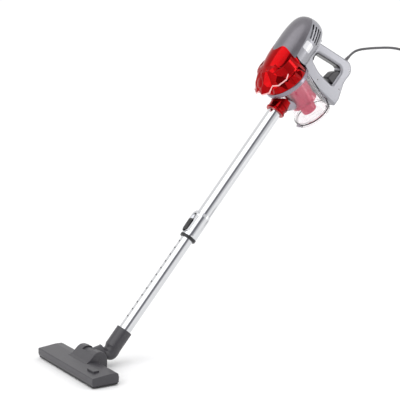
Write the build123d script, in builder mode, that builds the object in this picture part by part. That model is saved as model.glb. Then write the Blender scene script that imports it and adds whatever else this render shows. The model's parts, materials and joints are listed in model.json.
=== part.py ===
from build123d import *
import os
from math import cos, sin, tan, radians, pi, degrees

# Upright stick vacuum cleaner.
# Lengths are in millimetres. X runs across the floor head, Y backwards, Z up.
# The origin is the centre of the handle's rear grip; the floor is FOOT_Z below it.
# "Along" is the distance up the wand from the floor, "under" the distance from the
# wand's axis towards the underside of the leaning wand.

# ---------------------------------------------------------------- driving sizes
LEAN = 49.6
FOOT_Y = -690.0
FOOT_Z = -660.0

TUBE_R = 17.5
TUBE_WALL = 1.1
LOWER_TUBE_R = 15.5
LOWER_TUBE_WALL = 1.0
RUN_GAP = 0.3
COLLAR_LOW = 766.0
COLLAR_TOP = 804.0
STOP_ALONG = 782.0
COLLAR_R = 25.0
SLEEVE_LOW = 373.0
SLEEVE_TOP = 446.0
SLEEVE_R = 20.4
SOCKET_LOW = 57.0
SOCKET_TOP = 106.0
SOCKET_R = 20.0
DETENT_PITCH = 20.0
DETENT_COUNT = 12
FIRST_DETENT = 358.0

BULLET_UNDER = -57.5
BULLET_R = 48.0
SHELL_WALL = 2.4

CUP_TILT = 9.3
CUP_ALONG = 833.0
CUP_UNDER = -28.0
CUP_WALL = 2.2
CUP_TOP_R = 56.5
CUP_LOW_R = 48.5
CUP_SHIFT = 9.0
CUP_TOP_H = 124.0
CUP_LOW_H = 14.0
RIM_R = 60.0
CROWN_H = 136.0
LEDGE_H = 155.0
HOOD_H = 162.0

GRIP_HALF = 16.0

HEAD_W = 285.0
HEAD_D = 68.0
HEAD_FRONT_Y = -780.5
HEAD_LIP = 25.0
HEAD_TOP = 29.5
NECK_Y = HEAD_FRONT_Y + 70.0
NECK_Z = 31.0
BRUSH_W = 214.0

CORD_R = 3.2

# ---------------------------------------------------------------- frames
along_dir = Vector(0, cos(radians(LEAN)), sin(radians(LEAN)))
under_dir = Vector(0, sin(radians(LEAN)), -cos(radians(LEAN)))
foot = Vector(0, FOOT_Y, FOOT_Z)
tilt = radians(CUP_TILT)
cup_back = along_dir * cos(tilt) + under_dir * sin(tilt)
cup_up = along_dir * sin(tilt) - under_dir * cos(tilt)
cup_foot = foot + cup_back * CUP_ALONG - cup_up * CUP_UNDER

WAND = Plane(foot, x_dir=(1, 0, 0), z_dir=along_dir)
SIDE = Plane(foot, x_dir=under_dir, z_dir=(1, 0, 0))
TOP = Plane(foot, x_dir=(1, 0, 0), z_dir=-under_dir)
CUP = Plane(cup_foot, x_dir=(1, 0, 0), z_dir=cup_up)
CUP_SIDE = Plane(cup_foot, x_dir=cup_back, z_dir=(1, 0, 0))
HEAD_SIDE = Plane((0, HEAD_FRONT_Y, FOOT_Z), x_dir=(0, 1, 0), z_dir=(1, 0, 0))
HEAD_UP = Plane((0, HEAD_FRONT_Y, FOOT_Z), x_dir=(1, 0, 0), z_dir=(0, 0, 1))

DUCT_FACE = Plane(cup_foot - cup_back * (CUP_TOP_R + 0.4), x_dir=(1, 0, 0), z_dir=cup_back)
cover_slope = radians(5.9)
COVER_PLANE = Plane(foot - under_dir * 67.5 + along_dir * 885, x_dir=(1, 0, 0),
                    z_dir=-under_dir * cos(cover_slope) - along_dir * sin(cover_slope))

CORD_EXIT = Plane(foot + under_dir * 88 + along_dir * 1001, x_dir=(1, 0, 0),
                  z_dir=(0, cos(radians(41)), sin(radians(41))))

os.makedirs("parts", exist_ok=True)


def on_wand(x, under, along):
    """A point given across, under and along the wand."""
    return foot + Vector(x, 0, 0) + under_dir * under + along_dir * along


def on_cup(x, back, height):
    """A point given across, behind and above the centre of the cup's floor."""
    return cup_foot + Vector(x, 0, 0) + cup_back * back + cup_up * height


def write(piece, label):
    """Label a finished piece and write its STEP file."""
    piece.part.label = label
    export_step(piece.part, "parts/" + label + ".step")


def tube(plane, start, end, outer, inner=0.0):
    """A round bar or tube along a plane's normal."""
    with BuildPart() as piece:
        with BuildSketch(plane.offset(start)):
            Circle(outer)
            if inner > 0:
                Circle(inner, mode=Mode.SUBTRACT)
        extrude(amount=end - start)
    return piece


def turned(plane, axis, points):
    """A body turned about an axis from a closed outline of straight lines."""
    with BuildPart() as piece:
        with BuildSketch(plane):
            with BuildLine():
                Polyline(*points, close=True)
            make_face()
        revolve(axis=axis)
    return piece


def plate(plane, points, half):
    """An outline extruded evenly to both sides of its plane."""
    with BuildPart() as piece:
        with BuildSketch(plane):
            with BuildLine():
                Polyline(*points, close=True)
            make_face()
        extrude(amount=half, both=True)
    return piece


wand_axis = Axis(foot, along_dir)
bullet_axis = Axis(on_wand(0, BULLET_UNDER, 0), along_dir)
cup_axis = Axis(cup_foot, cup_up)


# ---------------------------------------------------------------- wand
def build_wand():
    """Two telescoping tubes, the sleeve that joins them and its lock button."""
    upper = tube(WAND, 404, STOP_ALONG - 0.2, TUBE_R, TUBE_R - TUBE_WALL)
    write(upper, "wand_upper")

    with BuildPart() as lower:
        with BuildSketch(WAND.offset(62)):
            Circle(LOWER_TUBE_R)
            Circle(LOWER_TUBE_R - LOWER_TUBE_WALL, mode=Mode.SUBTRACT)
        extrude(amount=420)
        with BuildSketch(TOP.offset(LOWER_TUBE_R - 4)):
            for number in range(DETENT_COUNT):
                along = FIRST_DETENT - number * DETENT_PITCH
                with Locations((0, along)):
                    Circle(2.3)
        extrude(amount=6, mode=Mode.SUBTRACT)
    write(lower, "wand_lower")

    with BuildPart() as sleeve:
        with BuildSketch(SIDE):
            with BuildLine():
                Polyline((LOWER_TUBE_R + RUN_GAP, SLEEVE_LOW + 7), (SLEEVE_R - 0.6, SLEEVE_LOW + 7),
                         (SLEEVE_R, SLEEVE_LOW + 10), (SLEEVE_R, SLEEVE_TOP - 8),
                         (SLEEVE_R - 1.6, SLEEVE_TOP), (TUBE_R, SLEEVE_TOP), (TUBE_R, 404),
                         (LOWER_TUBE_R + RUN_GAP, 404), close=True)
            make_face()
        revolve(axis=wand_axis)
        with BuildSketch(TOP.offset(TUBE_R)):
            with Locations((0, SLEEVE_LOW + 40)):
                SlotOverall(62, 24, rotation=90)
        extrude(amount=4.6)
        with BuildSketch(TOP.offset(LOWER_TUBE_R - 2)):
            with Locations((0, SLEEVE_LOW + 37)):
                SlotOverall(54, 17.4, rotation=90)
        extrude(amount=12, mode=Mode.SUBTRACT)
        with BuildSketch(WAND.offset(SLEEVE_LOW)):
            Circle(LOWER_TUBE_R + RUN_GAP)
        extrude(amount=31, mode=Mode.SUBTRACT)
        with BuildSketch(WAND.offset(404)):
            Circle(TUBE_R)
        extrude(amount=60, mode=Mode.SUBTRACT)
    write(sleeve, "telescope_sleeve")

    low_ring = turned(SIDE, wand_axis, [
        (LOWER_TUBE_R + RUN_GAP, SLEEVE_LOW), (SLEEVE_R - 0.8, SLEEVE_LOW),
        (SLEEVE_R + 0.4, SLEEVE_LOW + 1.5), (SLEEVE_R + 0.4, SLEEVE_LOW + 7),
        (LOWER_TUBE_R + RUN_GAP, SLEEVE_LOW + 7)])
    write(low_ring, "sleeve_ring")

    with BuildPart() as button:
        with BuildSketch(SIDE):
            with BuildLine():
                Polyline((-17.9, 388), (-17.9, 421), (-21.5, 421), (-24.5, 416), (-23.4, 390),
                         (-22.0, 388), close=True)
            make_face()
        extrude(amount=7.6, both=True)
        with BuildSketch(SIDE):
            for number in range(5):
                with Locations((-24.6, 394 + number * 4.4)):
                    Rectangle(1.6, 1.6)
        extrude(amount=9, both=True, mode=Mode.SUBTRACT)
    write(button, "lock_button")


def build_collar():
    """The red inlet collar that the wand plugs into, and its seal."""
    with BuildPart() as collar:
        with BuildSketch(SIDE):
            with BuildLine():
                Polyline((TUBE_R + RUN_GAP, COLLAR_LOW), (COLLAR_R - 1.4, COLLAR_LOW),
                         (COLLAR_R, COLLAR_LOW + 2), (COLLAR_R, COLLAR_LOW + 5),
                         (COLLAR_R - 1.6, COLLAR_LOW + 8), (COLLAR_R - 1.6, COLLAR_TOP - 8),
                         (COLLAR_R, COLLAR_TOP - 4), (COLLAR_R, COLLAR_TOP + 12),
                         (TUBE_R - 1.5, COLLAR_TOP + 12), (TUBE_R - 1.5, STOP_ALONG),
                         (TUBE_R + RUN_GAP, STOP_ALONG), close=True)
            make_face()
        revolve(axis=wand_axis)
        with BuildSketch(SIDE):
            with BuildLine():
                Polyline((-20, COLLAR_TOP - 14), (-20, COLLAR_TOP + 14), (-44, COLLAR_TOP + 14),
                         (-44, COLLAR_TOP + 4), close=True)
            make_face()
        extrude(amount=13, both=True)
        add(tube(WAND, COLLAR_LOW - 1, STOP_ALONG, TUBE_R + RUN_GAP).part, mode=Mode.SUBTRACT)
        add(tube(WAND, STOP_ALONG - 1, COLLAR_TOP + 30, TUBE_R - 1.5).part, mode=Mode.SUBTRACT)
        with BuildSketch(DUCT_FACE.offset(-0.4)):
            Rectangle(160, 400)
        extrude(amount=60, mode=Mode.SUBTRACT)
        with BuildSketch(CUP.offset(CUP_TOP_H + 0.4)):
            Rectangle(300, 300)
        extrude(amount=80, mode=Mode.SUBTRACT)
    write(collar, "inlet_collar")


# ---------------------------------------------------------------- hand unit
def bullet(inset):
    """The motor end's bullet shape, made smaller all over by the inset."""
    radius = BULLET_R - inset
    tip = 1011 - inset
    with BuildPart() as piece:
        with BuildSketch(SIDE):
            with BuildLine():
                start = (BULLET_UNDER, 862 + inset)
                Line(start, (BULLET_UNDER + radius - 0.8, 862 + inset))
                Spline((BULLET_UNDER + radius - 0.8, 862 + inset), (BULLET_UNDER + radius, 915),
                       (BULLET_UNDER + radius - 2, tip - 46), (BULLET_UNDER + radius * 0.71, tip - 12),
                       (BULLET_UNDER, tip), tangents=((0.02, 1), (-1, 0)))
                Line((BULLET_UNDER, tip), start)
            make_face()
        revolve(axis=bullet_axis)
    return piece


def wave_cutter(low):
    """A tall block whose top edge is the wavy line between grey cover and red shell."""
    points = [(-60, 890), (-46, 886), (-34, 893), (-20, 896), (-9, 885), (0, 880),
              (9, 885), (20, 896), (34, 893), (46, 886), (60, 890)]
    with BuildPart() as piece:
        with BuildSketch(TOP.offset(14)):
            with BuildLine():
                Spline(*points)
                Polyline((60, 890), (60, low), (-60, low), (-60, 890))
            make_face()
        extrude(amount=116)
    return piece


def build_cover():
    """The dark upper half of the motor end."""
    outer = bullet(0)
    inner = bullet(SHELL_WALL)
    front = wave_cutter(850)
    with BuildPart() as cover:
        add(outer.part)
        add(inner.part, mode=Mode.SUBTRACT)
        split(bisect_by=COVER_PLANE, keep=Keep.TOP)
        add(front.part, mode=Mode.SUBTRACT)
    write(cover, "motor_cover")


HANDLE_OUTER = [(-30, 976), (120, 1012), (115, 955), (131, 912), (131, 890), (60, 886), (-30, 893)]
HANDLE_OUTER_RADII = [1, 26, 50, 10, 4, 100, 1]
HANDLE_OPENING = [(-4, 956), (88, 979), (88, 924), (34, 922), (-4, 932)]
HANDLE_OPENING_RADII = [8, 14, 3, 60, 12]
SPINE_GAP_R = CUP_TOP_R + 1.0
SCREW_SPOTS = [(-16, 984), (108, 985), (111, 930), (40, 905), (-36, 940)]


def handle_block(half, inset, rounding):
    """The D-shaped handle with the spine behind the cup."""
    with BuildPart() as piece:
        with BuildSketch(SIDE):
            with BuildLine():
                FilletPolyline(*HANDLE_OUTER, radius=HANDLE_OUTER_RADII, close=True)
            make_face()
            with BuildLine():
                FilletPolyline(*HANDLE_OPENING, radius=HANDLE_OPENING_RADII, close=True)
            make_face(mode=Mode.SUBTRACT)
            if inset > 0:
                offset(amount=-inset, mode=Mode.REPLACE)
        extrude(amount=half, both=True)
        if rounding > 0:
            fillet(piece.faces().filter_by(Axis.X).edges(), radius=rounding)
    return piece


def build_housing():
    """The silver housing: lower half of the motor end, spine and handle, in two halves."""
    outer = bullet(0)
    inner = bullet(SHELL_WALL)
    front = wave_cutter(850)
    handle = handle_block(GRIP_HALF, 0, 6.5)
    hollow = handle_block(GRIP_HALF - 3, 3.2, 0)
    cup_clear = tube(CUP, -40, CUP_TOP_H, SPINE_GAP_R)
    crown_clear = tube(CUP, CUP_TOP_H - 0.5, HOOD_H + 47, RIM_R + 0.1)
    with BuildPart() as housing:
        add(outer.part)
        split(bisect_by=COVER_PLANE, keep=Keep.BOTTOM)
        add(front.part, mode=Mode.SUBTRACT)
        add(handle.part)
        add(hollow.part, mode=Mode.SUBTRACT)
        for under, along in SCREW_SPOTS[:4]:
            with BuildSketch(SIDE):
                with Locations((under, along)):
                    Circle(4.5)
            extrude(amount=GRIP_HALF - 2, both=True)
        add(inner.part, mode=Mode.SUBTRACT)
        add(cup_clear.part, mode=Mode.SUBTRACT)
        add(crown_clear.part, mode=Mode.SUBTRACT)
        with BuildSketch(SIDE):
            for number in range(4):
                with Locations((-69 + 8.8 * number, 970)):
                    SlotOverall(39, 4.8, rotation=-76)
        extrude(amount=70, both=True, mode=Mode.SUBTRACT)
        with BuildSketch(SIDE):
            with Locations((-56, 932)):
                RectangleRounded(27, 24, 4)
        extrude(amount=70, both=True, mode=Mode.SUBTRACT)
        with BuildSketch(SIDE):
            with Locations((93, 950.5)):
                Rectangle(14, 46)
        extrude(amount=11.5, both=True, mode=Mode.SUBTRACT)
        for under, along in SCREW_SPOTS[:4]:
            with BuildSketch(SIDE):
                with Locations((under, along)):
                    Circle(1.7)
            extrude(amount=GRIP_HALF + 2, both=True, mode=Mode.SUBTRACT)
            with BuildSketch(SIDE.offset(GRIP_HALF - 2.4)):
                with Locations((under, along)):
                    Circle(3.4)
            extrude(amount=6, mode=Mode.SUBTRACT)
        with BuildSketch(CORD_EXIT.offset(-9)):
            Circle(5.2)
        extrude(amount=30, mode=Mode.SUBTRACT)
        with BuildSketch(CUP_SIDE):
            with Locations((59, 2)):
                Rectangle(14, 64)
        extrude(amount=8.2, both=True, mode=Mode.SUBTRACT)
    for label, keep in (("housing_left", Keep.BOTTOM), ("housing_right", Keep.TOP)):
        with BuildPart() as half:
            add(housing.part)
            split(bisect_by=Plane.YZ, keep=keep)
        write(half, label)

    with BuildPart() as screws:
        for under, along in SCREW_SPOTS[:4]:
            with BuildSketch(SIDE.offset(-GRIP_HALF + 3)):
                with Locations((under, along)):
                    Circle(1.7)
            extrude(amount=2 * GRIP_HALF - 5.4)
            with BuildSketch(SIDE.offset(GRIP_HALF - 2.4)):
                with Locations((under, along)):
                    Circle(3.2)
                    RegularPolygon(1.3, 6, mode=Mode.SUBTRACT)
            extrude(amount=1.8)
    write(screws, "housing_screws")

    for label, sign in (("release_left", -1), ("release_right", 1)):
        with BuildPart() as button:
            add(outer.part)
            add(bullet(SHELL_WALL + 1).part, mode=Mode.SUBTRACT)
            with BuildSketch(SIDE):
                with Locations((-56, 932)):
                    RectangleRounded(26.4, 23.4, 3.7)
            extrude(amount=sign * 70, mode=Mode.INTERSECT)
        write(button, label)

    with BuildPart() as trigger:
        with BuildSketch(SIDE):
            with BuildLine():
                FilletPolyline((93, 965), (81, 965), (70.5, 953), (66, 931), (93, 930),
                               radius=[2, 5, 14, 4, 2], close=True)
            make_face()
        extrude(amount=11.2, both=True)
        fillet(trigger.faces().filter_by(Axis.X).edges(), radius=1.8)
    write(trigger, "power_trigger")


# ---------------------------------------------------------------- red front and crown
def nose(inset):
    """The bullet's tapering front end."""
    profile = [(20, 783), (30, 796), (37, 815), (42.5, 838), (46.5, 862), (48, 884), (48, 902)]
    outline = [(BULLET_UNDER + radius - inset, along) for radius, along in profile]
    with BuildPart() as piece:
        with BuildSketch(SIDE):
            with BuildLine():
                Polyline((BULLET_UNDER, 902), (BULLET_UNDER, 778 + inset), outline[0])
                Spline(*outline)
                Line(outline[-1], (BULLET_UNDER, 902))
            make_face()
        revolve(axis=bullet_axis)
    return piece


def shell_block(inset):
    """The red front's smooth shape: the nose and the skirt round the cup's axis."""
    skirt = turned(CUP_SIDE, cup_axis, [(0, CROWN_H), (57 - inset, CROWN_H), (55.5 - inset, 166),
                                        (50 - inset, 192), (0, 192)])
    with BuildPart() as flare:
        with BuildSketch(CUP.offset(HOOD_H)):
            with Locations((0, -9)):
                Ellipse(57 - inset, 71 - inset)
        with BuildSketch(CUP.offset(HOOD_H + 38)):
            with Locations((0, -20)):
                Ellipse(27 - inset, 26 - inset)
        loft()
    cutter = wave_cutter(740)
    with BuildPart() as piece:
        add(nose(inset).part)
        add(skirt.part)
        add(flare.part)
        add(cutter.part, mode=Mode.INTERSECT)
        with BuildSketch(CUP_SIDE):
            with BuildLine():
                Polyline((-90, HOOD_H), (24, HOOD_H), (33, CROWN_H), (33, 90), (-90, 90),
                         close=True)
            make_face()
        extrude(amount=90, both=True, mode=Mode.SUBTRACT)
        with BuildSketch(CUP.offset(CROWN_H)):
            Rectangle(300, 300)
        extrude(amount=-60, mode=Mode.SUBTRACT)
    return piece


def build_crown():
    """The red front shell, the two-tier crown of cyclone lobes and the rim band."""
    solid_shell = shell_block(0)
    hollow_shell = shell_block(SHELL_WALL)
    with BuildPart() as shell:
        add(solid_shell.part)
        add(hollow_shell.part, mode=Mode.SUBTRACT)
    write(shell, "front_shell")

    with BuildPart() as ledge:
        with BuildSketch(CUP.offset(LEDGE_H - 4)):
            Circle(50.5)
            for number in range(-3, 4):
                angle = radians(number * 36)
                with Locations((44 * sin(angle), -44 * cos(angle))):
                    Circle(11.6)
            Circle(47, mode=Mode.SUBTRACT)
        extrude(amount=4)
        add(solid_shell.part, mode=Mode.SUBTRACT)
        with BuildSketch(CUP_SIDE):
            with Locations((82, 150)):
                Rectangle(110, 120)
        extrude(amount=90, both=True, mode=Mode.SUBTRACT)
    write(ledge, "crown_ledge")

    with BuildPart() as lower:
        with BuildSketch(CUP.offset(CROWN_H)):
            RegularPolygon(59.5, 18)
        with BuildSketch(CUP.offset(LEDGE_H - 4)):
            RegularPolygon(53, 18, rotation=10)
        loft()
        add(tube(CUP, CROWN_H - 1, LEDGE_H, 47).part, mode=Mode.SUBTRACT)
        add(solid_shell.part, mode=Mode.SUBTRACT)
        with BuildSketch(CUP_SIDE):
            with Locations((88, 150)):
                Rectangle(110, 120)
        extrude(amount=90, both=True, mode=Mode.SUBTRACT)
    write(lower, "crown_lower")

    rim = turned(CUP_SIDE, cup_axis, [(46, CUP_TOP_H + 0.4), (58.4, CUP_TOP_H + 0.4),
                                      (RIM_R, CUP_TOP_H + 3), (RIM_R, CROWN_H - 2),
                                      (59.2, CROWN_H), (46, CROWN_H)])
    write(rim, "rim_band")

    with BuildPart() as cyclone:
        with BuildSketch(CUP.offset(CUP_TOP_H + 1)):
            Circle(45.8)
            Circle(20, mode=Mode.SUBTRACT)
            with PolarLocations(33, 8):
                Circle(7, mode=Mode.SUBTRACT)
        extrude(amount=3)
    write(cyclone, "cyclone_plate")

    with BuildPart() as cones:
        for number in range(8):
            angle = radians(number * 45)
            for height, radius in ((CUP_TOP_H + 4.2, 5), (CUP_TOP_H + 13, 9)):
                with BuildSketch(CUP.offset(height)):
                    with Locations((33 * cos(angle), 33 * sin(angle))):
                        Circle(radius)
            loft()
    write(cones, "cyclone_cones")


# ---------------------------------------------------------------- dust cup
CUP_SECTIONS = [(CUP_TOP_H, 0, CUP_TOP_R), (65, 12, 43), (CUP_LOW_H + 3, CUP_SHIFT, CUP_LOW_R - 1)]


def cup_block(inset):
    """The waisted cup's outline, made smaller by the wall."""
    with BuildPart() as piece:
        for height, back, radius in CUP_SECTIONS:
            with BuildSketch(CUP.offset(height)):
                with Locations((0, back)):
                    Circle(radius - inset)
        loft()
    return piece


def build_cup():
    """The clear dust cup with its inlet duct, lid, shroud and seals."""
    outer = cup_block(0)
    inner = cup_block(CUP_WALL)
    with BuildPart() as duct_block:
        with BuildSketch(DUCT_FACE):
            with Locations((0, -99)):
                Circle(22.5)
        with BuildSketch(DUCT_FACE.offset(44)):
            with Locations((0, -84)):
                Ellipse(24, 33)
        loft()
    with BuildPart() as duct_bore:
        with BuildSketch(DUCT_FACE.offset(-1)):
            with Locations((0, -99)):
                Circle(16)
        with BuildSketch(DUCT_FACE.offset(46)):
            with Locations((0, -86)):
                Ellipse(15, 20)
        loft()
    with BuildPart() as duct:
        add(duct_block.part)
        add(duct_bore.part, mode=Mode.SUBTRACT)
        add(outer.part, mode=Mode.SUBTRACT)
        add(tube(WAND, COLLAR_LOW, COLLAR_TOP, COLLAR_R + 0.1).part, mode=Mode.SUBTRACT)
    write(duct, "inlet_duct")

    flange_block = tube(WAND, COLLAR_LOW, COLLAR_TOP, COLLAR_R, 16.5)
    with BuildPart() as flange:
        add(flange_block.part)
        with BuildSketch(DUCT_FACE):
            Rectangle(160, 400)
        extrude(amount=-60, mode=Mode.SUBTRACT)
        add(outer.part, mode=Mode.SUBTRACT)
        with BuildSketch(CUP.offset(CUP_TOP_H)):
            Rectangle(300, 300)
        extrude(amount=80, mode=Mode.SUBTRACT)
    write(flange, "inlet_flange")

    with BuildPart() as cup:
        add(outer.part)
        add(inner.part, mode=Mode.SUBTRACT)
        with BuildSketch(CUP.offset(CUP_LOW_H + 3)):
            with Locations((0, CUP_SHIFT)):
                Circle(CUP_LOW_R + 0.5)
                Circle(CUP_LOW_R - 1 - CUP_WALL, mode=Mode.SUBTRACT)
        extrude(amount=3)
        add(duct_bore.part, mode=Mode.SUBTRACT)
    write(cup, "dust_cup")

    lid_axis = Axis(on_cup(0, CUP_SHIFT, 0), cup_up)
    lid_side = Plane(on_cup(0, CUP_SHIFT, 0), x_dir=cup_back, z_dir=(1, 0, 0))
    lid_plane = Plane(on_cup(0, CUP_SHIFT, 0), x_dir=(1, 0, 0), z_dir=cup_up)
    with BuildPart() as lid:
        with BuildSketch(lid_side):
            with BuildLine():
                Polyline((0, -5), (26, -5))
                Spline((26, -5), (40, -1.5), (CUP_LOW_R - 1, CUP_LOW_H - 4), tangents=((1, 0), (0, 1)))
                Polyline((CUP_LOW_R - 1, CUP_LOW_H - 4), (CUP_LOW_R + 0.5, CUP_LOW_H - 3),
                         (CUP_LOW_R + 0.5, CUP_LOW_H), (CUP_LOW_R - 3, CUP_LOW_H),
                         (CUP_LOW_R - 3.2, CUP_LOW_H - 4), (38, 0.6), (26, -2.8), (0, -2.8), (0, -5))
            make_face()
        revolve(axis=lid_axis)
        for side in (-1, 1):
            knuckle = Plane(on_cup(side * 7, CUP_SHIFT - CUP_LOW_R - 3.2, CUP_LOW_H + 0.6),
                            x_dir=cup_back, z_dir=(1, 0, 0))
            with BuildSketch(knuckle):
                Circle(2.8)
                with Locations((3, -1.8)):
                    Rectangle(5, 2.2)
                Circle(1.3, mode=Mode.SUBTRACT)
            extrude(amount=2.4, both=True)
    write(lid, "cup_lid")

    hinge = Plane(on_cup(0, CUP_SHIFT - CUP_LOW_R - 3.2, CUP_LOW_H + 0.6), x_dir=cup_back,
                  z_dir=(1, 0, 0))
    with BuildPart() as lug:
        with BuildSketch(hinge):
            Circle(2.8)
            with Locations((3.2, 3.4)):
                Rectangle(3.4, 4)
            with Locations((1.2, 2)):
                Rectangle(3.2, 4)
            Circle(1.25, mode=Mode.SUBTRACT)
        extrude(amount=4, both=True)
        add(outer.part, mode=Mode.SUBTRACT)
        add(tube(lid_plane, CUP_LOW_H, CUP_LOW_H + 6, CUP_LOW_R + 0.5).part, mode=Mode.SUBTRACT)
    write(lug, "lid_lug")

    with BuildPart() as pin:
        with BuildSketch(hinge):
            Circle(1.25)
        extrude(amount=9.8, both=True)
    write(pin, "lid_pin")

    seal = turned(lid_side, lid_axis, [(CUP_LOW_R - 3, CUP_LOW_H + 0.1),
                                       (CUP_LOW_R + 0.2, CUP_LOW_H + 0.1),
                                       (CUP_LOW_R + 0.2, CUP_LOW_H + 2.9),
                                       (CUP_LOW_R - 3, CUP_LOW_H + 2.9)])
    write(seal, "lid_seal")

    latch_plane = Plane(on_cup(0, CUP_SHIFT + CUP_LOW_R + 3, CUP_LOW_H + 3), x_dir=cup_back,
                        z_dir=(1, 0, 0))
    with BuildPart() as latch:
        with BuildSketch(latch_plane):
            with BuildLine():
                Polyline((-1.6, -7.6), (1.4, -7.6), (2.6, -4), (2.6, 9), (0.6, 9), (-1.4, 4),
                         (-1.4, 1), (0, -1), (0, -5.4), (-1.6, -6.2), close=True)
            make_face()
            with Locations((0.6, 2)):
                Circle(1.9)
            with Locations((0.6, 2)):
                Circle(0.95, mode=Mode.SUBTRACT)
        extrude(amount=5, both=True)
    write(latch, "lid_latch")

    latch_axle = Plane(on_cup(0, CUP_SHIFT + CUP_LOW_R + 3.6, CUP_LOW_H + 5), x_dir=cup_back,
                       z_dir=(1, 0, 0))
    with BuildPart() as latch_pin:
        with BuildSketch(latch_axle):
            Circle(0.9)
        extrude(amount=7.2, both=True)
    write(latch_pin, "latch_pin")
    with BuildPart() as ears:
        for side in (-1, 1):
            with BuildSketch(latch_axle.offset(side * 5.3)):
                Circle(2)
                with Locations((-3, 1)):
                    Rectangle(6, 4)
                Circle(0.9, mode=Mode.SUBTRACT)
            extrude(amount=side * 1.9)
        add(outer.part, mode=Mode.SUBTRACT)
        add(tube(lid_plane, CUP_LOW_H - 8, CUP_LOW_H + 8, CUP_LOW_R + 0.6).part,
            mode=Mode.SUBTRACT)
    write(ears, "latch_ears")

    shroud_axis = Axis(on_cup(0, 8, 0), cup_up)
    shroud_side = Plane(on_cup(0, 8, 0), x_dir=cup_back, z_dir=(1, 0, 0))
    shroud = turned(shroud_side, shroud_axis, [
        (20, CUP_TOP_H + 0.6), (36, CUP_TOP_H + 0.6), (33, 62), (35, 57), (35, 54.4),
        (24, 54.4), (24, 57), (30.5, 61), (33.5, CUP_TOP_H - 2), (20, CUP_TOP_H - 2)])
    write(shroud, "shroud")
    funnel = turned(shroud_side, shroud_axis, [
        (24, 54.3), (24, 57), (22, 57), (17, 48), (17, 27), (19, 26), (20, 34), (20, 48), (23, 54.3)])
    write(funnel, "dust_funnel")


# ---------------------------------------------------------------- motor
def build_motor():
    """Motor, fan and filters inside the hand unit."""
    def about_bullet(label, points):
        outline = [(BULLET_UNDER + radius, along) for radius, along in points]
        write(turned(SIDE, bullet_axis, outline), label)

    about_bullet("motor_can", [(0, 912), (30, 912), (33, 915), (33, 958), (30, 962), (0, 962)])
    about_bullet("motor_shaft", [(0, 884.4), (2.5, 884.4), (2.5, 911.8), (0, 911.8)])
    about_bullet("fan_housing", [(28, 884), (30, 884), (30, 911.8), (4, 911.8), (4, 909),
                                 (28, 906)])
    about_bullet("motor_mount", [(33, 946), (44.6, 946), (44.2, 952), (33, 952)])
    about_bullet("exhaust_filter", [(34, 953), (43, 953), (40, 976), (34, 980)])
    with BuildPart() as fan:
        with BuildSketch(SIDE):
            with BuildLine():
                Polyline((BULLET_UNDER + 2.55, 886), (BULLET_UNDER + 8, 886),
                         (BULLET_UNDER + 10, 898), (BULLET_UNDER + 26, 901),
                         (BULLET_UNDER + 26, 903), (BULLET_UNDER + 2.55, 903), close=True)
            make_face()
        revolve(axis=bullet_axis)
        centre = Plane(on_wand(0, BULLET_UNDER, 888), x_dir=(1, 0, 0), z_dir=along_dir)
        with BuildSketch(centre):
            with PolarLocations(15.5, 9):
                Rectangle(19, 1.4, rotation=24)
        extrude(amount=13)
        add(tube(centre, -4, 20, 2.55).part, mode=Mode.SUBTRACT)
    write(fan, "fan")
    filter_plane = Plane(on_cup(0, -8, 0), x_dir=(1, 0, 0), z_dir=cup_up)
    pre_filter = tube(filter_plane, CUP_TOP_H + 22, CUP_TOP_H + 34, 34)
    write(pre_filter, "pre_filter")


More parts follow.
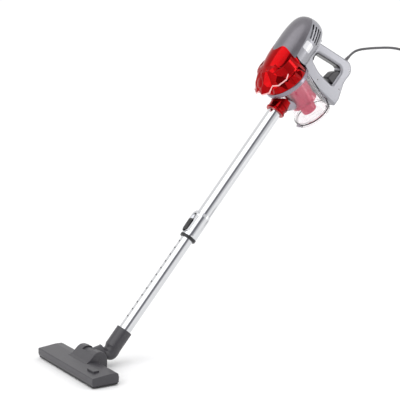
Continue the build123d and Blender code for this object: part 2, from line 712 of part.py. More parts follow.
# ---------------------------------------------------------------- floor head
def build_head():
    """Cover, sole, brushes, wheels and pedal of the floor head."""
    profile = [(1.5, 7), (0, 12), (0, HEAD_LIP - 2), (2, HEAD_LIP), (20, 26.8), (46, HEAD_TOP),
               (62, 29), (66, 27), (HEAD_D, 19), (HEAD_D - 1, 7)]
    with BuildPart() as cover:
        with BuildSketch(HEAD_SIDE):
            with BuildLine():
                Polyline(*profile, close=True)
            make_face()
        extrude(amount=HEAD_W / 2, both=True)
        fillet(cover.faces().filter_by(Axis.X).edges().filter_by(
            lambda edge: edge.center().Z > FOOT_Z + 7.5), radius=1.6)
        with BuildSketch(HEAD_UP.offset(6.9)):
            with Locations((0, HEAD_D / 2)):
                Rectangle(HEAD_W - 5, HEAD_D - 5)
        extrude(amount=16, mode=Mode.SUBTRACT)
        with BuildSketch(HEAD_SIDE):
            with Locations((HEAD_D - 12.4, 28)):
                Rectangle(46, 44)
        extrude(amount=44.4, both=True, mode=Mode.SUBTRACT)
        with BuildSketch(HEAD_UP.offset(20)):
            with Locations((96, 26)):
                RectangleRounded(34, 16, 3)
        extrude(amount=14, mode=Mode.SUBTRACT)
    write(cover, "head_cover")

    with BuildPart() as sole:
        with BuildSketch(HEAD_UP.offset(3)):
            with Locations((0, HEAD_D / 2)):
                RectangleRounded(HEAD_W - 3, HEAD_D - 3, 4)
            with Locations((0, 22)):
                Rectangle(220, 17, mode=Mode.SUBTRACT)
            for side in (-1, 1):
                with Locations((side * 118, 52)):
                    Rectangle(14, 24, mode=Mode.SUBTRACT)
            with Locations((0, 44)):
                Rectangle(BRUSH_W + 1, 5, mode=Mode.SUBTRACT)
            with Locations((0, 8)):
                Rectangle(BRUSH_W + 1, 5, mode=Mode.SUBTRACT)
        extrude(amount=3.8)
    write(sole, "sole_plate")

    for label, y in (("front_brush", 8), ("rear_brush", 44)):
        with BuildPart() as brush:
            with BuildSketch(HEAD_UP.offset(1)):
                with Locations((0, y)):
                    Rectangle(BRUSH_W, 4.4)
            extrude(amount=9)
        write(brush, label)

    for label, side in (("wheel_left", -1), ("wheel_right", 1)):
        wheel_plane = Plane((side * 118, HEAD_FRONT_Y + 52, FOOT_Z + 10), x_dir=(0, 1, 0),
                            z_dir=(1, 0, 0))
        with BuildPart() as wheel:
            with BuildSketch(wheel_plane):
                Circle(10)
                Circle(2.05, mode=Mode.SUBTRACT)
            extrude(amount=5, both=True)
            chamfer(wheel.edges().filter_by(GeomType.CIRCLE).group_by(SortBy.RADIUS)[-1], 1)
        write(wheel, label)
    with BuildPart() as axles:
        for side in (-1, 1):
            axle_plane = Plane((side * 118, HEAD_FRONT_Y + 52, FOOT_Z + 10), x_dir=(0, 1, 0),
                               z_dir=(1, 0, 0))
            with BuildSketch(axle_plane):
                Circle(2)
            extrude(amount=9, both=True)
    write(axles, "wheel_axles")
    with BuildPart() as brackets:
        for side in (-1, 1):
            for step in (-1, 1):
                with BuildSketch(HEAD_UP.offset(6.9)):
                    with Locations((side * 118 + step * 7.4, 52)):
                        Rectangle(2.6, 12)
                extrude(amount=12)
        for side in (-1, 1):
            axle_plane = Plane((side * 118, HEAD_FRONT_Y + 52, FOOT_Z + 10), x_dir=(0, 1, 0),
                               z_dir=(1, 0, 0))
            with BuildSketch(axle_plane):
                Circle(2)
            extrude(amount=9.5, both=True, mode=Mode.SUBTRACT)
    write(brackets, "axle_brackets")

    with BuildPart() as pedal:
        with BuildSketch(HEAD_UP.offset(26.5)):
            with Locations((96, 26)):
                RectangleRounded(33.2, 15.2, 2.7)
        extrude(amount=5)
        fillet(pedal.faces().sort_by(Axis.Z)[-1].edges(), radius=1)
    write(pedal, "brush_pedal")


def build_neck():
    """The barrel hinge in the head and the swivelling elbow that holds the wand."""
    barrel_x = Plane((0, NECK_Y, FOOT_Z + NECK_Z), x_dir=(0, 1, 0), z_dir=(1, 0, 0))
    hump_points = [(33, 27), (40, 31), (56, 46.5), (64, 51), (73, 51.5), (82, 48), (88, 40),
                   (90, 30), (89, 12), (60, 7), (36, 20)]
    with BuildPart() as hump:
        with BuildSketch(HEAD_SIDE):
            with BuildLine():
                Polyline(*hump_points, close=True)
            make_face()
        extrude(amount=44, both=True)
        fillet(hump.faces().filter_by(Axis.X).edges().filter_by(
            lambda edge: edge.center().Z > FOOT_Z + 32), radius=2.5)
        with BuildSketch(barrel_x):
            Circle(17.3)
        extrude(amount=33, both=True, mode=Mode.SUBTRACT)
        with BuildSketch(barrel_x):
            Circle(4.06)
        extrude(amount=50, both=True, mode=Mode.SUBTRACT)
        with BuildSketch(HEAD_SIDE):
            with BuildLine():
                Polyline((56, 44), (56, 60), (100, 60), (100, 2), (66, 2), (66, 14), close=True)
            make_face()
        extrude(amount=18.4, both=True, mode=Mode.SUBTRACT)
    write(hump, "neck_housing")

    with BuildPart() as pins:
        for side in (-1, 1):
            with BuildSketch(barrel_x.offset(side * 33.5)):
                Circle(4)
            extrude(amount=side * 10)
    write(pins, "barrel_pins")

    pipe_dir = Vector(0, cos(radians(12)), sin(radians(12)))
    pipe = Plane((0, NECK_Y, FOOT_Z + NECK_Z), x_dir=(1, 0, 0), z_dir=pipe_dir)
    with BuildPart() as barrel:
        with BuildSketch(barrel_x):
            Circle(17)
        extrude(amount=32.7, both=True)
        with BuildSketch(pipe):
            Circle(17)
        extrude(amount=30)
        with BuildSketch(barrel_x):
            Circle(13)
        extrude(amount=29, both=True, mode=Mode.SUBTRACT)
        with BuildSketch(pipe):
            Circle(14)
        extrude(amount=31, mode=Mode.SUBTRACT)
        with BuildSketch(barrel_x):
            Circle(3.9)
        extrude(amount=34, both=True, mode=Mode.SUBTRACT)
    write(barrel, "neck_barrel")

    joint = pipe.offset(30.4)
    bend = on_wand(0, 0, 40)
    with BuildPart() as elbow:
        with BuildLine():
            Polyline(joint.origin, joint.origin + pipe_dir * 12, on_wand(0, 0, SOCKET_LOW))
        with BuildSketch(joint):
            Circle(17.6)
        with BuildSketch(Plane(bend, x_dir=(1, 0, 0), z_dir=(pipe_dir + along_dir).normalized())):
            Circle(18.4)
        with BuildSketch(WAND.offset(SOCKET_LOW)):
            Circle(SOCKET_R)
        loft()
        with BuildSketch(WAND.offset(SOCKET_LOW)):
            Circle(SOCKET_R)
        extrude(amount=SOCKET_TOP - SOCKET_LOW)
        with BuildSketch(joint.offset(-0.1)):
            Circle(13.6)
        with BuildSketch(Plane(bend, x_dir=(1, 0, 0), z_dir=(pipe_dir + along_dir).normalized())):
            Circle(14)
        with BuildSketch(WAND.offset(SOCKET_LOW + 1)):
            Circle(14.6)
        loft(mode=Mode.SUBTRACT)
        add(tube(WAND, 61.5, SOCKET_TOP + 1, LOWER_TUBE_R + RUN_GAP).part, mode=Mode.SUBTRACT)
        add(tube(WAND, SOCKET_LOW, 62, 14.6).part, mode=Mode.SUBTRACT)
    write(elbow, "elbow_socket")


# ---------------------------------------------------------------- mains cord
FLOOR_Z = FOOT_Z
COIL_X = 175.0
COIL_Y = 235.0
COIL_MID_R = 45.0
COIL_LAYERS = 4
COIL_COLUMNS = 4
COIL_OUT_R = COIL_MID_R + COIL_COLUMNS * CORD_R
COIL_IN_R = COIL_MID_R - COIL_COLUMNS * CORD_R
COIL_TOP_Z = FLOOR_Z + COIL_LAYERS * 2 * CORD_R
TOP_TURN_Z = COIL_TOP_Z - CORD_R
OUT_TURN_X = COIL_X - COIL_OUT_R + CORD_R
PLUG_X = 231.0
PLUG_Z = FLOOR_Z + 7.4

relief_end = CORD_EXIT.origin + CORD_EXIT.z_dir * 20
CORD_ROUTE = [
    relief_end, relief_end + CORD_EXIT.z_dir * 15,
    (4.5, 67.5, 75.5), (13.5, 85, 78.6), (27, 112, 81), (45, 148, 82), (62, 180, 74),
    (76, 205, 54), (86, 220, 22), (92, 227, -28), (97, 229, -95), (101, 226, -175),
    (106, 219, -260), (110, 210, -345), (114, 200, -430), (117, 189, -508), (119, 181, -560),
    (120, 180, -596), (120.2, 191, -622), (OUT_TURN_X, 213, TOP_TURN_Z + 1.6),
    (OUT_TURN_X, COIL_Y, TOP_TURN_Z)]


def bend_radii(points):
    """The largest tangent arc at each corner that its two runs leave room for."""
    corners = [Vector(point) for point in points]
    radii = []
    for before, corner, after in zip(corners, corners[1:], corners[2:]):
        turn = (corner - before).get_angle(after - corner)
        shorter = min((corner - before).length, (after - corner).length)
        radii.append(0.45 * shorter / tan(radians(turn) / 2))
    return radii


def build_cord():
    """Strain relief, the free stretch of cord, its storage coil, tie and plug."""
    with BuildPart() as relief:
        with BuildSketch(CORD_EXIT.offset(-9)):
            Circle(5)
        extrude(amount=9)
        with BuildSketch(CORD_EXIT):
            Circle(5)
        with BuildSketch(CORD_EXIT.offset(20)):
            Circle(3.7)
        loft()
    write(relief, "cord_relief")

    radii = bend_radii(CORD_ROUTE)
    print("cord radii", [round(radius, 1) for radius in radii])
    with BuildPart() as cord:
        with BuildLine() as path:
            FilletPolyline(*CORD_ROUTE, radius=radii)
        with BuildSketch(CORD_EXIT.offset(20)):
            Circle(CORD_R)
        sweep()
    free_length = sum(edge.length for edge in path.edges())
    print("free cord", round(free_length, 1), "volume", round(cord.part.volume, 1),
          "section times length", round(pi * CORD_R ** 2 * free_length, 1))
    write(cord, "cord_tube")

    coil_plane = Plane((COIL_X, COIL_Y, FLOOR_Z), x_dir=(1, 0, 0), z_dir=(0, 0, 1))
    coil = tube(coil_plane, 0, COIL_TOP_Z - FLOOR_Z, COIL_OUT_R, COIL_IN_R)
    write(coil, "cord_coil")

    with BuildPart() as tie:
        with BuildSketch(Plane((COIL_X, COIL_Y + COIL_MID_R, FLOOR_Z), x_dir=(0, 1, 0),
                               z_dir=(1, 0, 0))):
            with Locations((0, (COIL_TOP_Z - FLOOR_Z) / 2 + 0.6)):
                Rectangle(2 * COIL_COLUMNS * CORD_R + 3.2, COIL_TOP_Z - FLOOR_Z + 1.2)
        extrude(amount=6, both=True)
        add(coil.part, mode=Mode.SUBTRACT)
    write(tie, "coil_tie")

    plug_end = Plane((PLUG_X, 222, PLUG_Z), x_dir=(1, 0, 0), z_dir=(0, -1, 0))
    with BuildPart() as plug_relief:
        with BuildSketch(plug_end):
            Circle(3.6)
        with BuildSketch(plug_end.offset(35)):
            Circle(6)
        loft()
    write(plug_relief, "plug_relief")
    with BuildPart() as plug:
        with BuildSketch(plug_end.offset(35)):
            RectangleRounded(20, 14, 5)
        with BuildSketch(plug_end.offset(52)):
            RectangleRounded(31, 14.4, 6)
        loft()
        with BuildSketch(plug_end.offset(52)):
            RectangleRounded(31, 14.4, 6)
        extrude(amount=16)
    write(plug, "plug_body")
    with BuildPart() as pins:
        with BuildSketch(plug_end.offset(68)):
            with GridLocations(19, 1, 2, 1):
                Circle(2.4)
        extrude(amount=19)
        chamfer(pins.faces().sort_by(Axis.Y)[:2].edges(), 0.8)
    write(pins, "plug_pins")


build_wand()
build_collar()
build_cover()
build_housing()
build_crown()
build_cup()
build_motor()
build_head()
build_neck()
build_cord()
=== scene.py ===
import json
from math import cos, pi, radians, sin, tau

import bmesh
import bpy
from mathutils import Matrix, Vector


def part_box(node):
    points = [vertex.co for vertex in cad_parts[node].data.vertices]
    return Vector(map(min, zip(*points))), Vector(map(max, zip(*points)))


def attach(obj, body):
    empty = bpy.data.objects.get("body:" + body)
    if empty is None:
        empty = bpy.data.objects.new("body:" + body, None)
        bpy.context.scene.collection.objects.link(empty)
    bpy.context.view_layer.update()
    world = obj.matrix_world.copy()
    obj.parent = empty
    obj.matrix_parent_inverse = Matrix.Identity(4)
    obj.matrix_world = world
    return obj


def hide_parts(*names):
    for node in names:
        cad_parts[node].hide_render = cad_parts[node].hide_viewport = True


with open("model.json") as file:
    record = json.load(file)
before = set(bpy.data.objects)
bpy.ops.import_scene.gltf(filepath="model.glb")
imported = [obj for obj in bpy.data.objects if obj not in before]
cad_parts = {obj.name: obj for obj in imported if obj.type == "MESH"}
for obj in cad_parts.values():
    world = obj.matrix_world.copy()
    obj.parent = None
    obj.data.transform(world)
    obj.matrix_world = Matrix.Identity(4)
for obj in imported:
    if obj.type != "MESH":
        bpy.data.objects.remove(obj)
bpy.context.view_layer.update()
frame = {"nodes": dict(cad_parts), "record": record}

# ---------------------------------------------------------------- frames, metres
LEAN = radians(49.6)
CUP_TILT = radians(9.3)
ALONG = Vector((0, cos(LEAN), sin(LEAN)))
UNDER = Vector((0, sin(LEAN), -cos(LEAN)))
CUP_BACK = ALONG * cos(CUP_TILT) + UNDER * sin(CUP_TILT)
CUP_UP = ALONG * sin(CUP_TILT) - UNDER * cos(CUP_TILT)
ACROSS = Vector((1, 0, 0))
FOOT = Vector((0, -0.690, -0.660))
CUP_FOOT = FOOT + CUP_BACK * 0.833 + CUP_UP * 0.028
FLOOR_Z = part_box("wheel_left")[0][2]


def on_wand(x, under, along):
    """A point across, under and along the wand."""
    return FOOT + ACROSS * x + UNDER * under + ALONG * along


def on_cup(x, back, height):
    """A point across, behind and above the centre of the cup's floor."""
    return CUP_FOOT + ACROSS * x + CUP_BACK * back + CUP_UP * height


# ---------------------------------------------------------------- camera
camera_data = bpy.data.cameras.new("camera")
camera_data.lens = 105.8
camera_data.sensor_width = 36
camera = bpy.data.objects.new("camera", camera_data)
right = Vector((0.5354, 0.8446, 0.0098)).normalized()
back = Vector((0.8328, -0.5298, 0.1604)).normalized()
up = back.cross(right).normalized()
right = up.cross(back).normalized()
camera.matrix_world = Matrix.Translation((2.3809, -1.9267, 0.1762)) @ Matrix(
    (right, up, back)).transposed().to_4x4()
bpy.context.collection.objects.link(camera)
scene = bpy.context.scene
scene.camera = camera
scene.view_settings.view_transform = "Standard"


# ---------------------------------------------------------------- materials
def shader_of(name):
    """A new node material and its Principled shader."""
    made = bpy.data.materials.new(name)
    made.use_nodes = True
    return made, made.node_tree.nodes["Principled BSDF"]


def noise(tree, scale, detail=2.0, stretch=(1, 1, 1)):
    """Noise in object coordinates, stretched by axis."""
    place = tree.nodes.new("ShaderNodeTexCoord")
    mapping = tree.nodes.new("ShaderNodeMapping")
    mapping.inputs["Scale"].default_value = stretch
    texture = tree.nodes.new("ShaderNodeTexNoise")
    texture.inputs["Scale"].default_value = scale
    texture.inputs["Detail"].default_value = detail
    tree.links.new(place.outputs["Object"], mapping.inputs["Vector"])
    tree.links.new(mapping.outputs["Vector"], texture.inputs["Vector"])
    return texture


def shade(made, shader, colour, spread=0.08, scale=40, grain=900, depth=0.00002, rough=(0.3, 0.4),
          stretch=(1, 1, 1)):
    """Uneven colour, uneven roughness and a fine grain for a shader."""
    tree = made.node_tree
    broad = noise(tree, scale, 3, stretch)
    ramp = tree.nodes.new("ShaderNodeValToRGB")
    ramp.color_ramp.elements[0].position = 0.3
    ramp.color_ramp.elements[1].position = 0.7
    ramp.color_ramp.elements[0].color = [channel * (1 - spread) for channel in colour] + [1]
    ramp.color_ramp.elements[1].color = [min(1, channel * (1 + spread)) for channel in colour] + [1]
    tree.links.new(broad.outputs["Fac"], ramp.inputs["Fac"])
    tree.links.new(ramp.outputs["Color"], shader.inputs["Base Color"])
    span = tree.nodes.new("ShaderNodeMapRange")
    span.inputs["To Min"].default_value = rough[0]
    span.inputs["To Max"].default_value = rough[1]
    tree.links.new(broad.outputs["Fac"], span.inputs["Value"])
    tree.links.new(span.outputs["Result"], shader.inputs["Roughness"])
    fine = noise(tree, grain, 2, stretch)
    bump = tree.nodes.new("ShaderNodeBump")
    bump.inputs["Strength"].default_value = 0.4
    bump.inputs["Distance"].default_value = depth
    tree.links.new(fine.outputs["Fac"], bump.inputs["Height"])
    tree.links.new(bump.outputs["Normal"], shader.inputs["Normal"])


def finish_of(name, colour, metallic=0.0, coat=0.0, coat_rough=0.05, clear=0.0, ior=1.47, **kwargs):
    """A finished material: colour, metal and clear coat, with its grain."""
    made, shader = shader_of(name)
    shader.inputs["Metallic"].default_value = metallic
    shader.inputs["Coat Weight"].default_value = coat
    shader.inputs["Coat Roughness"].default_value = coat_rough
    shader.inputs["Transmission Weight"].default_value = clear
    shader.inputs["IOR"].default_value = ior
    shade(made, shader, colour, **kwargs)
    return made


chrome = finish_of("chrome_look", (0.64, 0.645, 0.66), metallic=1.0, spread=0.02, scale=18,
                   grain=500, depth=0.000004, rough=(0.04, 0.09))
silver = finish_of("silver_look", (0.31, 0.31, 0.335), metallic=0.6, coat=0.15, spread=0.03,
                   grain=2500, depth=0.00001, rough=(0.26, 0.33))
cover_grey = finish_of("cover_look", (0.15, 0.142, 0.158), metallic=0.55, coat=0.3, spread=0.06,
                       grain=2600, depth=0.000012, rough=(0.3, 0.38))
red = finish_of("red_look", (0.36, 0.0002, 0.0015), metallic=0.92, coat=0.05, coat_rough=0.03,
                spread=0.12, scale=25, grain=300, depth=0.000006, rough=(0.13, 0.2))
pad = finish_of("pad_look", (0.70, 0.70, 0.72), metallic=0.1, coat=0.8, spread=0.02,
                grain=1500, depth=0.000006, rough=(0.16, 0.22))
dark = finish_of("dark_look", (0.016, 0.014, 0.018), coat=0.05, spread=0.1, grain=1200,
                 depth=0.00001, rough=(0.24, 0.34))
rim_metal = finish_of("rim_look", (0.27, 0.235, 0.28), metallic=0.8, spread=0.05, grain=900,
                      depth=0.00001, rough=(0.2, 0.3))
clear = finish_of("clear_look", (0.96, 0.93, 0.94), clear=1.0, ior=1.46, spread=0.01, grain=200,
                  depth=0.000004, rough=(0.01, 0.03))
duct_grey = finish_of("duct_look", (0.34, 0.3, 0.35), metallic=0.2, coat=0.4, spread=0.06,
                      rough=(0.25, 0.35))
rose = finish_of("rose_look", (0.74, 0.03, 0.12), metallic=0.1, coat=0.3, spread=0.08,
                 rough=(0.25, 0.36))
charcoal = finish_of("charcoal_look", (0.044, 0.042, 0.048), coat=0.06, spread=0.08, scale=60,
                     grain=1900, depth=0.00003, rough=(0.36, 0.46))
black = finish_of("black_look", (0.012, 0.012, 0.013), spread=0.1, grain=1500, depth=0.00002,
                  rough=(0.35, 0.5))
rubber = finish_of("rubber_look", (0.02, 0.02, 0.021), spread=0.12, grain=1400, depth=0.00003,
                   rough=(0.55, 0.7))
bristle = finish_of("bristle_look", (0.02, 0.02, 0.02), spread=0.3, scale=300, grain=700,
                    depth=0.0006, rough=(0.6, 0.8), stretch=(3, 3, 0.2))
steel = finish_of("steel_look", (0.30, 0.30, 0.31), metallic=1.0, spread=0.05, grain=1200,
                  depth=0.00001, rough=(0.2, 0.32))
foam = finish_of("foam_look", (0.22, 0.22, 0.24), spread=0.2, scale=200, grain=900,
                 depth=0.0003, rough=(0.8, 0.95))
sheath = finish_of("sheath_look", (0.085, 0.083, 0.088), coat=0.1, spread=0.08, grain=1500,
                   depth=0.00001, rough=(0.34, 0.44))
plated = finish_of("plated_look", (0.72, 0.6, 0.36), metallic=1.0, spread=0.04, grain=900,
                   depth=0.000006, rough=(0.18, 0.26))

SLOT_LOOKS = {
    "chrome_tube": chrome, "silver_plastic": silver, "cover_grey": cover_grey, "red_clear": red,
    "pad_silver": pad, "trigger_dark": dark, "rim_metal": rim_metal, "clear_cup": clear,
    "duct_grey": duct_grey, "shroud_rose": rose, "charcoal": charcoal, "black_ring": black,
    "sole_black": black, "bristle": bristle, "wheel_black": rubber, "steel": steel,
    "motor_metal": steel, "inner_plastic": dark, "foam": foam, "cord_black": sheath,
    "brass": plated}

# three pieces whose finish in the photograph isn't their slot's
NODE_LOOKS = {"telescope_sleeve": chrome, "barrel_pins": charcoal, "lock_button": black}

for part in frame["record"]["subparts"]:
    node = frame["nodes"][part["node"]]
    look = NODE_LOOKS.get(part["node"], SLOT_LOOKS[part["material_slot"]])
    for place in node.material_slots:
        place.material = look


# ---------------------------------------------------------------- stage and light
def stage_floor():
    """A plain pale floor, wide enough to fill the view."""
    mesh = bmesh.new()
    bmesh.ops.create_grid(mesh, x_segments=4, y_segments=4, size=30)
    bmesh.ops.translate(mesh, verts=mesh.verts, vec=(0, 0, FLOOR_Z))
    data = bpy.data.meshes.new("floor")
    mesh.to_mesh(data)
    mesh.free()
    floor = bpy.data.objects.new("floor", data)
    floor.data.materials.append(
        finish_of("floor_look", (0.88, 0.88, 0.88), spread=0.005, rough=(0.8, 0.9)))
    bpy.context.collection.objects.link(floor)


def area_light(name, place, aim, size, power):
    """A soft rectangular light at a place, pointing at a point."""
    data = bpy.data.lights.new(name, "AREA")
    data.shape = "RECTANGLE"
    data.size, data.size_y = size
    data.energy = power
    lamp = bpy.data.objects.new(name, data)
    lamp.location = place
    lamp.rotation_euler = (Vector(aim) - Vector(place)).to_track_quat("-Z", "Y").to_euler()
    bpy.context.collection.objects.link(lamp)


stage_floor()
# a white studio, with a soft dark patch that gives the chrome its line
world = bpy.data.worlds.new("studio")
scene.world = world
world.use_nodes = True
sky = world.node_tree
sky_place = sky.nodes.new("ShaderNodeTexCoord")
sky_side = sky.nodes.new("ShaderNodeVectorMath")
sky_side.operation = "DOT_PRODUCT"
sky_side.inputs[1].default_value = (back - ALONG * back.dot(ALONG)).normalized()
sky_ramp = sky.nodes.new("ShaderNodeValToRGB")
sky_ramp.color_ramp.interpolation = "EASE"
sky_ramp.color_ramp.elements[0].position = 0.45
sky_ramp.color_ramp.elements[0].color = (1, 1, 1, 1)
sky_ramp.color_ramp.elements[1].position = 0.93
sky_ramp.color_ramp.elements[1].color = (0.24, 0.24, 0.26, 1)
sky_ramp.color_ramp.elements.new(0.80).color = (0.78, 0.78, 0.80, 1)
sky.links.new(sky_place.outputs["Generated"], sky_side.inputs[0])
sky.links.new(sky_side.outputs["Value"], sky_ramp.inputs["Fac"])
sky.links.new(sky_ramp.outputs["Color"], sky.nodes["Background"].inputs["Color"])
sky.nodes["Background"].inputs["Strength"].default_value = 1.05
sun_data = bpy.data.lights.new("sun", "SUN")
sun_data.energy = 1.5
sun_data.angle = radians(70)
sun = bpy.data.objects.new("sun", sun_data)
sun.rotation_euler = Vector((-0.35, 0.75, -0.75)).to_track_quat("-Z", "Y").to_euler()
bpy.context.collection.objects.link(sun)
area_light("side", (1.6, 1.5, 0.5), (0, -0.1, 0), (0.5, 1.6), 8)


# ---------------------------------------------------------------- mesh helpers
def new_piece(name, mesh, look, body, smooth=True):
    """An object from a bmesh, finished and riding on its body."""
    data = bpy.data.meshes.new(name)
    mesh.to_mesh(data)
    mesh.free()
    piece = bpy.data.objects.new(name, data)
    piece.data.materials.append(look)
    bpy.context.collection.objects.link(piece)
    if smooth:
        for face in piece.data.polygons:
            face.use_smooth = True
    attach(piece, body)
    return piece


# ---------------------------------------------------------------- red crown
FLARE_LOW = (0.162, -0.009, 0.057, 0.071)
FLARE_HIGH = (0.200, -0.020, 0.027, 0.026)
LOBE_EDGES = [radians(turn) for turn in (-96, -50, -4, 42, 88)]
RING_LOBES = 11
SIDE_LIFT = 0.010
LIFT_TOP = 0.196
LIFT_SPAN = 0.038
BULLET_UNDER = -0.0575
CHEEK_TURN = 100
CHEEK_STEP = 8
CHEEK_PROFILE = ((0.838, 0.0417), (0.850, 0.0438), (0.862, 0.0457), (0.873, 0.0465),
                 (0.884, 0.0472), (0.893, 0.0472))
RING_TURN = radians(22)


def on_flare(turn, height, rise):
    """A point on the hood's flare: the turn starts at its front and goes towards +X."""
    share = (height - FLARE_LOW[0]) / (FLARE_HIGH[0] - FLARE_LOW[0])
    middle, half, depth = [low + (high - low) * share
                           for low, high in zip(FLARE_LOW[1:], FLARE_HIGH[1:])]
    return on_cup((half + rise) * sin(turn), middle - (depth + rise) * cos(turn), height)


def on_ring(turn, height, radius):
    """A point round the cup's axis: the turn starts at the front and goes towards +X."""
    return on_cup(radius * sin(turn), -radius * cos(turn), height)


def fan(mesh, centre, rim):
    """Flat facets from a centre to each side of its rim, which may be open."""
    for first, second in zip(rim, rim[1:]):
        mesh.faces.new((centre, first, second))


def bevelled(piece, width):
    """Narrow rounded edges that catch the light."""
    bevel = piece.modifiers.new("edges", "BEVEL")
    bevel.width = width
    bevel.segments = 2
    bevel.limit_method = "ANGLE"
    bevel.angle_limit = radians(12)


def walled(piece, thickness, offset=-1):
    """Gives a sheet of facets its wall."""
    wall = piece.modifiers.new("wall", "SOLIDIFY")
    wall.thickness = thickness
    wall.offset = offset


def stitched(mesh, rows):
    """Quads between neighbouring rows of points."""
    for first, second in zip(rows, rows[1:]):
        for index in range(len(first) - 1):
            mesh.faces.new((first[index], first[index + 1], second[index + 1], second[index]))
    bmesh.ops.recalc_face_normals(mesh, faces=mesh.faces)


def build_hood_facets():
    """Gem-like lobes round the flare of the red hood, with a stepped lower edge."""
    mesh = bmesh.new()
    edge = []
    for start, end in zip(LOBE_EDGES, LOBE_EDGES[1:]):
        middle = (start + end) / 2
        near_start, near_end = (start * 0.72 + end * 0.28), (start * 0.28 + end * 0.72)
        lift = SIDE_LIFT * (min(abs(middle), pi / 2) / (pi / 2)) ** 2

        def spot(turn, height, rise):
            lifted = height + lift * max(0, LIFT_TOP - height) / LIFT_SPAN
            return mesh.verts.new(on_flare(turn, lifted, rise))

        corner_a, corner_b = spot(start, 0.1970, 0.0008), spot(end, 0.1970, 0.0008)
        arch_a, arch_b = spot(near_start, 0.1995, 0.0018), spot(near_end, 0.1995, 0.0018)
        waist_a, waist_b = spot(start, 0.177, 0.0008), spot(end, 0.177, 0.0008)
        foot_a, foot_b = spot(start, 0.1655, 0.0008), spot(end, 0.1655, 0.0008)
        toe_a, toe_b = spot(near_start, 0.1600, 0.0024), spot(near_end, 0.1600, 0.0024)
        crest = spot(middle, 0.182, 0.0066)
        gem_a, gem_b = spot(near_start, 0.1725, 0.0052), spot(near_end, 0.1725, 0.0052)
        fan(mesh, crest, [gem_b, waist_b, corner_b, arch_b, arch_a, corner_a, waist_a, gem_a,
                          gem_b])
        fan(mesh, gem_a, [waist_a, foot_a, toe_a, toe_b])
        fan(mesh, gem_b, [gem_a, toe_b, foot_b, waist_b])
        tuck_a, tuck_b = spot(start, 0.2032, -0.0100), spot(end, 0.2032, -0.0100)
        mesh.faces.new((corner_a, arch_a, tuck_a))
        mesh.faces.new((arch_a, arch_b, tuck_b, tuck_a))
        mesh.faces.new((arch_b, corner_b, tuck_b))
        edge += [foot_a, toe_a, toe_b]
    edge.append(foot_b)
    lip = [vert.co.copy() for vert in edge]
    bmesh.ops.remove_doubles(mesh, verts=mesh.verts, dist=0.00005)
    bmesh.ops.recalc_face_normals(mesh, faces=mesh.faces)
    piece = new_piece("hood_facets", mesh, red, "hand_unit", smooth=False)
    walled(piece, 0.0012)
    bevelled(piece, 0.0006)
    return lip


def build_hood_edge(lip):
    """The lip that follows the lobes' stepped lower edge; its pale pink is a painted highlight."""
    mesh = bmesh.new()
    centre = on_cup(0, FLARE_LOW[1], 0)
    rows = []
    for point in lip:
        out = point - centre
        out = (out - CUP_UP * out.dot(CUP_UP)).normalized()
        rows.append([mesh.verts.new(point + out * 0.0006 + CUP_UP * 0.0012),
                     mesh.verts.new(point + out * 0.0012 - CUP_UP * 0.0016),
                     mesh.verts.new(point - out * 0.0022 - CUP_UP * 0.0034)])
    for first, second in zip(rows, rows[1:]):
        for index in range(2):
            mesh.faces.new((first[index], second[index], second[index + 1], first[index + 1]))
    bmesh.ops.recalc_face_normals(mesh, faces=mesh.faces)
    piece = new_piece("hood_edge", mesh, edge_painted_highlight, "hand_unit")
    walled(piece, 0.0014, 0)
    bevelled(piece, 0.0005)


def build_ring_facets():
    """The lower tier of small faceted lobes over the rim band."""
    mesh = bmesh.new()
    for lobe in range(RING_LOBES):
        start = (lobe - RING_LOBES / 2) * RING_TURN
        end = start + RING_TURN
        middle = (start + end) / 2

        def spot(turn, height, radius):
            return mesh.verts.new(on_ring(turn, height, radius))

        base_a, base_b = spot(start, 0.1362, 0.0590), spot(end, 0.1362, 0.0590)
        base = spot(middle, 0.1362, 0.0592)
        side_a, side_b = spot(start, 0.1460, 0.0556), spot(end, 0.1460, 0.0556)
        top_a, top_b = spot(start, 0.1580, 0.0500), spot(end, 0.1580, 0.0500)
        top = spot(middle, 0.1590, 0.0520)
        knee = spot(middle, 0.1520, 0.0585)
        heel_a = spot(start * 0.7 + end * 0.3, 0.1420, 0.0597)
        heel_b = spot(start * 0.3 + end * 0.7, 0.1420, 0.0597)
        fan(mesh, knee, [heel_b, side_b, top_b, top, top_a, side_a, heel_a, heel_b])
        fan(mesh, heel_a, [side_a, base_a, base])
        fan(mesh, heel_b, [base, base_b, side_b])
        mesh.faces.new((heel_a, base, heel_b))
    bmesh.ops.remove_doubles(mesh, verts=mesh.verts, dist=0.00005)
    bmesh.ops.recalc_face_normals(mesh, faces=mesh.faces)
    piece = new_piece("ring_facets", mesh, red, "hand_unit", smooth=False)
    walled(piece, 0.0012)
    bevelled(piece, 0.0005)
    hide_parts("crown_lower", "crown_ledge")


def build_hood_cheeks():
    """The smooth red shoulders that run up to the silver housing on each side."""
    mesh = bmesh.new()
    rows = []
    for along, radius in CHEEK_PROFILE:
        rows.append([mesh.verts.new(on_wand(radius * sin(radians(turn)),
                                            BULLET_UNDER - radius * cos(radians(turn)), along))
                     for turn in range(-CHEEK_TURN, CHEEK_TURN + 1, CHEEK_STEP)])
    stitched(mesh, rows)
    walled(new_piece("hood_cheeks", mesh, red, "hand_unit"), 0.0008)


# pale pink lip: a painted highlight of light caught along the hood's lower edge
edge_painted_highlight = finish_of("edge_painted_highlight_look", (0.86, 0.42, 0.42), coat=1.0, coat_rough=0.05, spread=0.1,
                      scale=60, grain=400, depth=0.000006, rough=(0.1, 0.2))
build_hood_edge(build_hood_facets())
build_ring_facets()
build_hood_cheeks()

# ---------------------------------------------------------------- painted shade in the handle's opening
SHADE_SHEET_PATH = ((0.000, 0.934), (-0.0032, 0.944), (-0.0005, 0.9560), (0.010, 0.9588),
              (0.040, 0.9663), (0.074, 0.9748), (0.0835, 0.9735), (0.0872, 0.966))
SHADE_SHEET_HALF = 0.0125


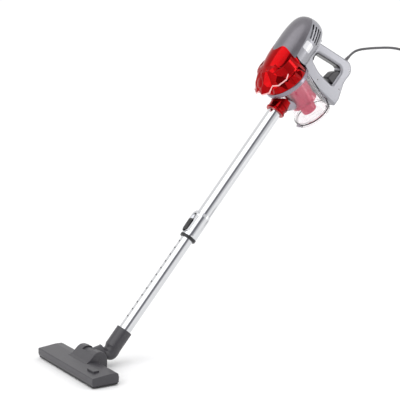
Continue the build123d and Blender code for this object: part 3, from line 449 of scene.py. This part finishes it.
def build_painted_shade_sheet():
    """A dark sheet on the upper side of the handle's opening, as painted shade on its inner
    surface.
    """
    mesh = bmesh.new()
    rows = []
    for under, along in SHADE_SHEET_PATH:
        rows.append([mesh.verts.new(on_wand(SHADE_SHEET_HALF * side, under, along))
                     for side in (-1, -0.5, 0, 0.5, 1)])
    stitched(mesh, rows)
    piece = new_piece("painted_shade_sheet", mesh, dark, "hand_unit")
    walled(piece, 0.0008, 0)
    bevelled(piece, 0.0002)


build_painted_shade_sheet()

# ---------------------------------------------------------------- mains cord
CORD_D = 0.0064
COIL_CENTRE = Vector((0.175, 0.235, FLOOR_Z))
COIL_MID_R = 0.045
COIL_ROWS = 4
TURN_POINTS = 14
cord_way = Vector((0, cos(radians(41)), sin(radians(41))))
cord_exit = on_wand(0, 0.088, 1.001)
OUT_R = COIL_MID_R + (COIL_ROWS - 1) / 2 * CORD_D
TOP_Z = FLOOR_Z + (COIL_ROWS - 0.5) * CORD_D

cord_route = [
    cord_exit + cord_way * 0.020, cord_exit + cord_way * 0.035,
    (0.0045, 0.0675, 0.0755), (0.0135, 0.085, 0.0786), (0.027, 0.112, 0.081),
    (0.045, 0.148, 0.082), (0.062, 0.180, 0.074), (0.076, 0.205, 0.054), (0.086, 0.220, 0.022),
    (0.092, 0.227, -0.028), (0.097, 0.229, -0.095), (0.101, 0.226, -0.175),
    (0.106, 0.219, -0.260), (0.110, 0.210, -0.345), (0.114, 0.200, -0.430),
    (0.117, 0.189, -0.508), (0.119, 0.181, -0.560), (0.120, 0.180, -0.596),
    (0.1202, 0.191, -0.622), (COIL_CENTRE.x - OUT_R, 0.213, TOP_Z + 0.0016)]


def coil_points():
    """Turns that spiral in and out by layer, from the top layer down."""
    points = []
    for step in range(COIL_ROWS * COIL_ROWS * TURN_POINTS + 1):
        turns = step / TURN_POINTS
        layer = min(int(turns / COIL_ROWS), COIL_ROWS - 1)
        within = turns - layer * COIL_ROWS
        inward = min(max(within - 0.5, 0), COIL_ROWS - 1)
        if layer % 2:
            inward = COIL_ROWS - 1 - inward
        drop = layer
        if within > COIL_ROWS - 0.5 and layer < COIL_ROWS - 1:
            drop += (within - COIL_ROWS + 0.5) * 2
        radius = OUT_R - inward * CORD_D
        angle = pi - turns * tau
        points.append(COIL_CENTRE + Vector((radius * cos(angle), radius * sin(angle),
                                            TOP_Z - FLOOR_Z - drop * CORD_D)))
    return points


def build_cord():
    """The mains cord as one smooth spline, with its coil."""
    curve = bpy.data.curves.new("mains_cord", "CURVE")
    curve.dimensions = "3D"
    curve.bevel_depth = CORD_D / 2
    curve.bevel_resolution = 5
    curve.resolution_u = 8
    points = [Vector(point) for point in cord_route] + coil_points()
    last = points[-1]
    points += [last + Vector((0.0, 0.02, 0)), last + Vector((0.004, 0.034, 0))]
    spline = curve.splines.new("NURBS")
    spline.points.add(len(points) - 1)
    for control, point in zip(spline.points, points):
        control.co = (*point, 1)
    spline.order_u = 3
    spline.use_endpoint_u = True
    cord = bpy.data.objects.new("mains_cord", curve)
    curve.materials.append(sheath)
    bpy.context.collection.objects.link(cord)
    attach(cord, "hand_unit")
    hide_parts("cord_tube", "cord_coil")


build_cord()
